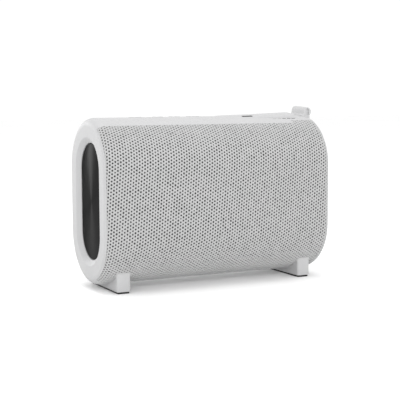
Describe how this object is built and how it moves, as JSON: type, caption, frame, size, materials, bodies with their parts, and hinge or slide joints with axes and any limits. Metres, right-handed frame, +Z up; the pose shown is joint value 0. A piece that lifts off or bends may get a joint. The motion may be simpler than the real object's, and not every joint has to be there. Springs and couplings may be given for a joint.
{
  "type": "portable smart speaker",
  "caption": "Portable smart speaker with a fabric-wrapped stadium body, radiator plates in its ends, top buttons, a strap loop and rail feet.",
  "frame": {"origin": "on the floor under the middle of the body", "axes": "+X along the body towards the strap loop, -Y to the front, +Z up"},
  "size_m": [0.2, 0.0823, 0.1434],
  "materials": {
    "battery_wrap": "shrink film",
    "black_gloss": "polished",
    "black_rubber": "matt",
    "circuit_board": "solder mask",
    "cone_paper": "coated paper",
    "dark_plastic": "moulded",
    "fabric": "woven light grey air mesh",
    "heat_sink_aluminium": "extruded",
    "light_grey_silicone": "soft matt, light grey",
    "spun_dark_metal": "spun, dark anodised",
    "steel": "plain"
  },
  "bodies": {
    "speaker": {"base_strip": "light_grey_silicone", "battery_tray": "dark_plastic", "control_board": "circuit_board", "front_battery_cell": "battery_wrap", "front_cabinet": "dark_plastic", "front_fabric": "fabric", "front_grille": "dark_plastic", "heat_sink": "heat_sink_aluminium", "left_driver_frame": "dark_plastic", "left_driver_magnet": "steel", "left_driver_surround": "black_rubber", "left_end_ring": "light_grey_silicone", "left_foot": "light_grey_silicone", "left_foot_pad": "black_rubber", "left_front_screw": "steel", "left_radiator_frame": "dark_plastic", "left_radiator_surround": "black_rubber", "left_rear_screw": "steel", "light_bar": "black_gloss", "main_board": "circuit_board", "mic_window": "dark_plastic", "port_bezel": "light_grey_silicone", "rear_battery_cell": "battery_wrap", "rear_cabinet": "dark_plastic", "rear_fabric": "fabric", "rear_grille": "dark_plastic", "right_driver_frame": "dark_plastic", "right_driver_magnet": "steel", "right_driver_surround": "black_rubber", "right_end_ring": "light_grey_silicone", "right_foot": "light_grey_silicone", "right_foot_pad": "black_rubber", "right_front_screw": "steel", "right_radiator_frame": "dark_plastic", "right_radiator_surround": "black_rubber", "right_rear_screw": "steel", "strap_loop": "light_grey_silicone", "top_plate": "light_grey_silicone", "top_strip": "light_grey_silicone", "usb_board": "circuit_board", "usb_socket": "steel"},
    "bluetooth_button": {"bluetooth_button": "light_grey_silicone"},
    "power_button": {"power_button": "light_grey_silicone"},
    "volume_down_button": {"volume_down_button": "light_grey_silicone"},
    "volume_up_button": {"volume_up_button": "light_grey_silicone"},
    "left_driver_cone": {"left_driver_cone": "cone_paper"},
    "left_radiator_plate": {"left_radiator_plate": "spun_dark_metal"},
    "right_driver_cone": {"right_driver_cone": "cone_paper"},
    "right_radiator_plate": {"right_radiator_plate": "spun_dark_metal"}
  },
  "joints": [
    {"name": "bluetooth_button_press", "type": "slide", "parent": "speaker", "child": "bluetooth_button", "axis": [0, 0, -1], "range_m": [0, 0.0008], "stiffness_N_per_m": 1200, "springref_m": -0.0002},
    {"name": "power_button_press", "type": "slide", "parent": "speaker", "child": "power_button", "axis": [0, 0, -1], "range_m": [0, 0.0008], "stiffness_N_per_m": 1200, "springref_m": -0.0002},
    {"name": "volume_down_button_press", "type": "slide", "parent": "speaker", "child": "volume_down_button", "axis": [0, 0, -1], "range_m": [0, 0.0008], "stiffness_N_per_m": 1200, "springref_m": -0.0002},
    {"name": "volume_up_button_press", "type": "slide", "parent": "speaker", "child": "volume_up_button", "axis": [0, 0, -1], "range_m": [0, 0.0008], "stiffness_N_per_m": 1200, "springref_m": -0.0002},
    {"name": "left_radiator_stroke", "type": "slide", "parent": "speaker", "child": "left_radiator_plate", "axis": [-1, 0, 0], "range_m": [-0.002, 0.002], "stiffness_N_per_m": 2500, "deforming": ["left_radiator_surround"]},
    {"name": "right_radiator_stroke", "type": "slide", "parent": "speaker", "child": "right_radiator_plate", "axis": [1, 0, 0], "range_m": [-0.002, 0.002], "stiffness_N_per_m": 2500, "deforming": ["right_radiator_surround"]},
    {"name": "left_driver_stroke", "type": "slide", "parent": "speaker", "child": "left_driver_cone", "axis": [0, -1, 0], "range_m": [-0.002, 0.002], "stiffness_N_per_m": 1500, "deforming": ["left_driver_surround"]},
    {"name": "right_driver_stroke", "type": "slide", "parent": "speaker", "child": "right_driver_cone", "axis": [0, -1, 0], "range_m": [-0.002, 0.002], "stiffness_N_per_m": 1500, "deforming": ["right_driver_surround"]}
  ]
}
